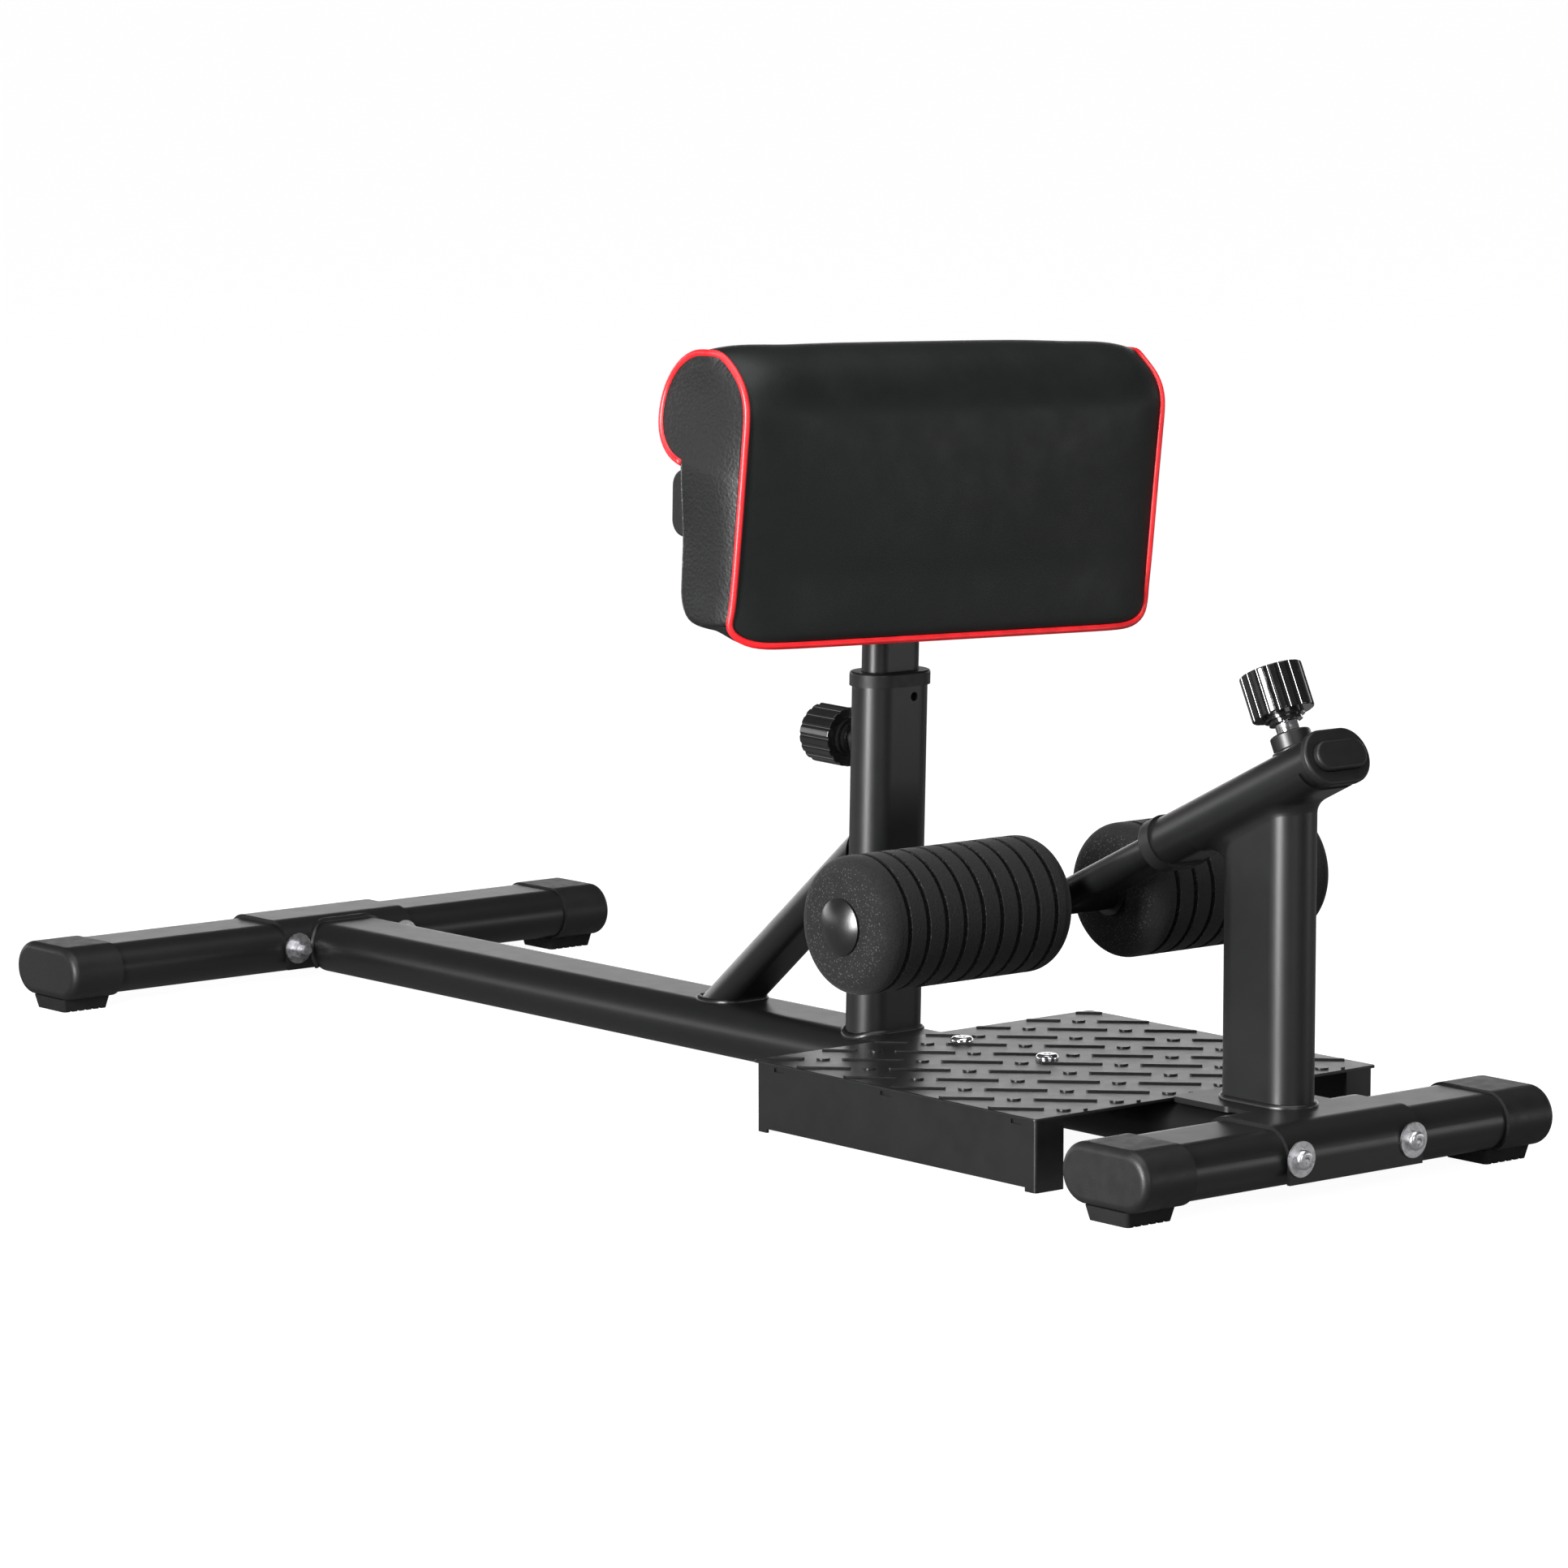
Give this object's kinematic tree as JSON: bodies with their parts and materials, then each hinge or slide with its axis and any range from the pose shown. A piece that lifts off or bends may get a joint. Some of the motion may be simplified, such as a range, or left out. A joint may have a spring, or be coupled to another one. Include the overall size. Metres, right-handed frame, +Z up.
{
  "type": "sissy squat bench",
  "caption": "Low squat bench with a tread plate between two foam ankle rollers on a sloping sleeve and a height-adjustable calf pad, both locked by spring pull pins.",
  "frame": {"origin": "on the floor midway between the two stabilisers, on the plane of left-right symmetry", "axes": "+Z up, +Y from the front stabiliser (front post and rollers) to the rear stabiliser, X across the machine"},
  "size_m": [0.545, 1.269, 0.5645],
  "materials": {
    "frame_paint": "satin black powder coat",
    "plate_paint": "satin black powder coat on pressed sheet",
    "cap_plastic": "matte moulded plastic",
    "knob_gloss": "glossy moulded plastic",
    "foot_rubber": "matte rubber",
    "zinc": "bright zinc plate",
    "chrome": "polished plate",
    "spring_steel": "drawn wire",
    "vinyl": "smooth and grained synthetic leather with red piping",
    "piping": "glossy red piping",
    "plywood": "plywood under black lining cloth",
    "foam": "matte closed-cell foam"
  },
  "bodies": {
    "base": {"main_tube": "frame_paint", "front_saddle": "frame_paint", "front_stabiliser_tube": "frame_paint", "front_bolts": "zinc", "front_washers": "zinc", "front_nuts": "zinc", "front_left_cap": "cap_plastic", "front_left_foot": "foot_rubber", "front_right_cap": "cap_plastic", "front_right_foot": "foot_rubber", "rear_saddle": "frame_paint", "rear_stabiliser_tube": "frame_paint", "rear_bolts": "zinc", "rear_washers": "zinc", "rear_nuts": "zinc", "rear_left_cap": "cap_plastic", "rear_left_foot": "foot_rubber", "rear_right_cap": "cap_plastic", "rear_right_foot": "foot_rubber", "tread_plate": "plate_paint", "platform_screws": "chrome", "left_platform_leg": "plate_paint", "right_platform_leg": "plate_paint", "seat_post_tube": "frame_paint", "seat_post_brace": "frame_paint", "front_post": "frame_paint", "sleeve_cradle": "frame_paint", "roller_sleeve": "frame_paint", "seat_post_collar": "cap_plastic", "sleeve_lower_bush": "cap_plastic", "sleeve_upper_bush": "cap_plastic", "seat_pin_boss": "frame_paint", "seat_pin_barrel": "chrome", "seat_pin_spring": "spring_steel", "roller_pin_boss": "frame_paint", "roller_pin_barrel": "chrome", "roller_pin_spring": "spring_steel"},
    "seat": {"inner_seat_post": "frame_paint", "inner_post_guide": "cap_plastic", "pad_bracket": "frame_paint", "left_bracket_cap": "cap_plastic", "right_bracket_cap": "cap_plastic", "pad_board": "plywood", "pad_cushion": "vinyl", "pad_bolts": "zinc"},
    "seat_plunger": {"seat_pull_pin": "zinc"},
    "seat_knob": {"seat_knob": "knob_gloss"},
    "roller_arm": {"inner_arm_tube": "frame_paint", "arm_end_plug": "cap_plastic", "roller_bar": "frame_paint", "bar_washers": "cap_plastic", "left_roller_cap": "cap_plastic", "right_roller_cap": "cap_plastic"},
    "roller_plunger": {"roller_pull_pin": "zinc"},
    "roller_knob": {"roller_knob": "knob_gloss"},
    "left_roller": {"left_roller_core": "cap_plastic", "left_roller_foam": "foam"},
    "right_roller": {"right_roller_core": "cap_plastic", "right_roller_foam": "foam"}
  },
  "joints": [
    {"name": "seat_height", "type": "slide", "parent": "base", "child": "seat", "axis": [0, -0.0262, 0.9997], "range_m": [-0.02, 0.1]},
    {"name": "roller_reach", "type": "slide", "parent": "base", "child": "roller_arm", "axis": [0, -0.9011, 0.4337], "range_m": [0, 0.08]},
    {"name": "left_roller_spin", "type": "hinge", "parent": "roller_arm", "child": "left_roller", "pos_m": [-0.1275, -0.3375, 0.1745], "axis": [1, 0, 0], "continuous": true},
    {"name": "right_roller_spin", "type": "hinge", "parent": "roller_arm", "child": "right_roller", "pos_m": [0.1275, -0.3375, 0.1745], "axis": [1, 0, 0], "continuous": true},
    {"name": "seat_pin_pull", "type": "slide", "parent": "base", "child": "seat_plunger", "axis": [0, 0.9997, 0.0262], "range_m": [0, 0.008], "stiffness_N_per_m": 900, "springref_m": -0.006, "deforming": ["seat_pin_spring"]},
    {"name": "seat_knob_turn", "type": "hinge", "parent": "seat_plunger", "child": "seat_knob", "pos_m": [0, -0.07292, 0.26628], "axis": [0, 0.9997, 0.0262], "continuous": true},
    {"name": "roller_pin_pull", "type": "slide", "parent": "base", "child": "roller_plunger", "axis": [0, 0.4337, 0.9011], "range_m": [0, 0.008], "stiffness_N_per_m": 900, "springref_m": -0.006, "deforming": ["roller_pin_spring"]},
    {"name": "roller_knob_turn", "type": "hinge", "parent": "roller_plunger", "child": "roller_knob", "pos_m": [0, -0.54356, 0.34359], "axis": [0, 0.4337, 0.9011], "continuous": true}
  ]
}
